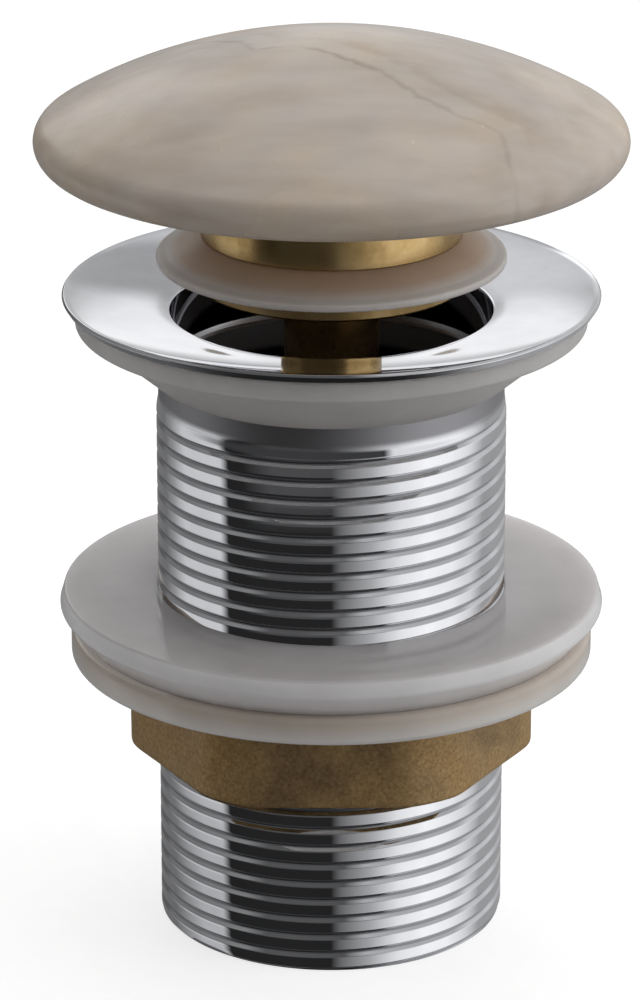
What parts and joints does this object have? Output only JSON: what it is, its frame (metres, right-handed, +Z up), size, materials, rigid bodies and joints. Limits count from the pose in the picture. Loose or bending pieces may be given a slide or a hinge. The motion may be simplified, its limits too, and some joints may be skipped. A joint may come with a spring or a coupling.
{
  "type": "pop up basin waste",
  "caption": "Unslotted click-clack basin waste: stone mushroom cap on a sprung plug, dished chrome flange, threaded tail, soft washers and a hexagonal backnut.",
  "frame": {"origin": "centre of the tail's lower end", "axes": "+Z up along the waste's axis, from the tail to the cap; a flat of the backnut faces -Y"},
  "size_m": [0.0702, 0.0702, 0.1097],
  "materials": {
    "chrome_plate": "polished chrome plate over brass",
    "clear_silicone": "soft translucent silicone",
    "milky_polythene": "milky moulded polythene",
    "cast_brass": "dull sand-cast brass",
    "turned_brass": "bright turned brass",
    "spring_steel": "drawn steel wire",
    "dark_acetal": "moulded acetal",
    "black_rubber": "moulded rubber",
    "beige_stone": "honed veined stone"
  },
  "bodies": {
    "waste_body": {"waste_body": "chrome_plate", "flange_seal": "clear_silicone", "stem": "turned_brass", "stem_locknut": "turned_brass", "guide_pin": "spring_steel", "spring_seat": "dark_acetal", "return_spring": "spring_steel"},
    "plug": {"stone_cap": "beige_stone", "cap_insert": "turned_brass", "plug_base": "turned_brass", "plug_seal": "clear_silicone", "barrel": "turned_brass", "end_bush": "turned_brass", "bush_oring": "black_rubber"},
    "rotor": {"index_rotor": "dark_acetal"},
    "washers": {"taper_washer": "milky_polythene", "slip_washer": "milky_polythene"},
    "backnut": {"backnut": "cast_brass"}
  },
  "joints": [
    {"name": "plug_press", "type": "slide", "parent": "waste_body", "child": "plug", "axis": [0, 0, 1], "range_m": [-0.0053, 0], "stiffness_N_per_m": 600, "springref_m": 0.015, "deforming": ["return_spring"]},
    {"name": "rotor_turn", "type": "hinge", "parent": "plug", "child": "rotor", "pos_m": [0, 0, 0.055], "axis": [0, 0, 1], "range_deg": [-46.5, 0]},
    {"name": "nut_travel", "type": "slide", "parent": "waste_body", "child": "washers", "axis": [0, 0, 1], "range_m": [-0.022, 0.0268]},
    {"name": "nut_turn", "type": "hinge", "parent": "washers", "child": "backnut", "pos_m": [0, 0, 0.028], "axis": [0, 0, 1], "range_deg": [-3430, 4178]}
  ],
  "couplings": [
    {"joint": "rotor_turn", "follows": "plug_press", "rad_per_m": 148.18},
    {"joint": "nut_travel", "follows": "nut_turn", "m_per_rad": 0.00036749}
  ]
}
